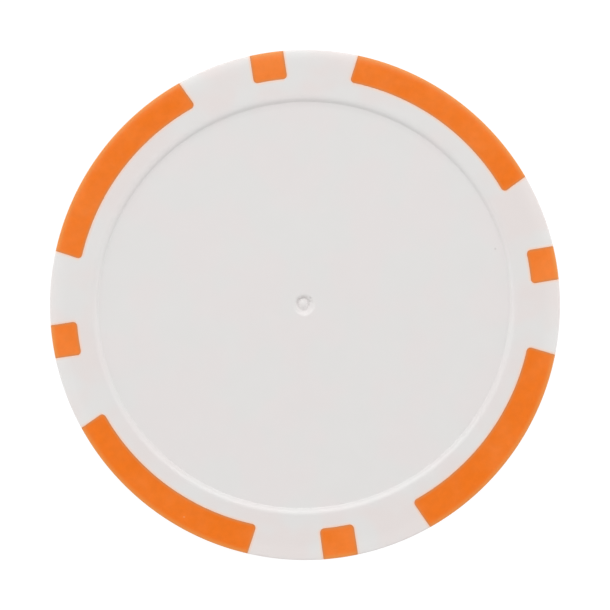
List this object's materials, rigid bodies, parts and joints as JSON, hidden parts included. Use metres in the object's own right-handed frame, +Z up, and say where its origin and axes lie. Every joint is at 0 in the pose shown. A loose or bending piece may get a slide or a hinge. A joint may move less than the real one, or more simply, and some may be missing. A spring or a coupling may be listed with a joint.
{
  "type": "golf ball marker",
  "caption": "Blank white golf ball marker of the weighted poker-chip kind, with orange rim stripes and a shallow round decal recess on both faces.",
  "frame": {"origin": "centre of the underside, on the surface that the marker rests on", "axes": "+Z up out of the face with the gate mark; +X and +Y through the middles of two short stripes"},
  "size_m": [0.04, 0.04, 0.0033],
  "materials": {
    "white_abs": "fine satin moulded ABS, slightly warm white",
    "orange_abs": "fine satin moulded ABS, bright orange",
    "slug_steel": "plain blanked sheet, not seen"
  },
  "bodies": {
    "root": {"white_body": "white_abs", "long_stripe_1": "orange_abs", "long_stripe_2": "orange_abs", "long_stripe_3": "orange_abs", "long_stripe_4": "orange_abs", "short_stripe_1": "orange_abs", "short_stripe_2": "orange_abs", "short_stripe_3": "orange_abs", "short_stripe_4": "orange_abs", "steel_slug": "slug_steel"}
  },
  "joints": []
}
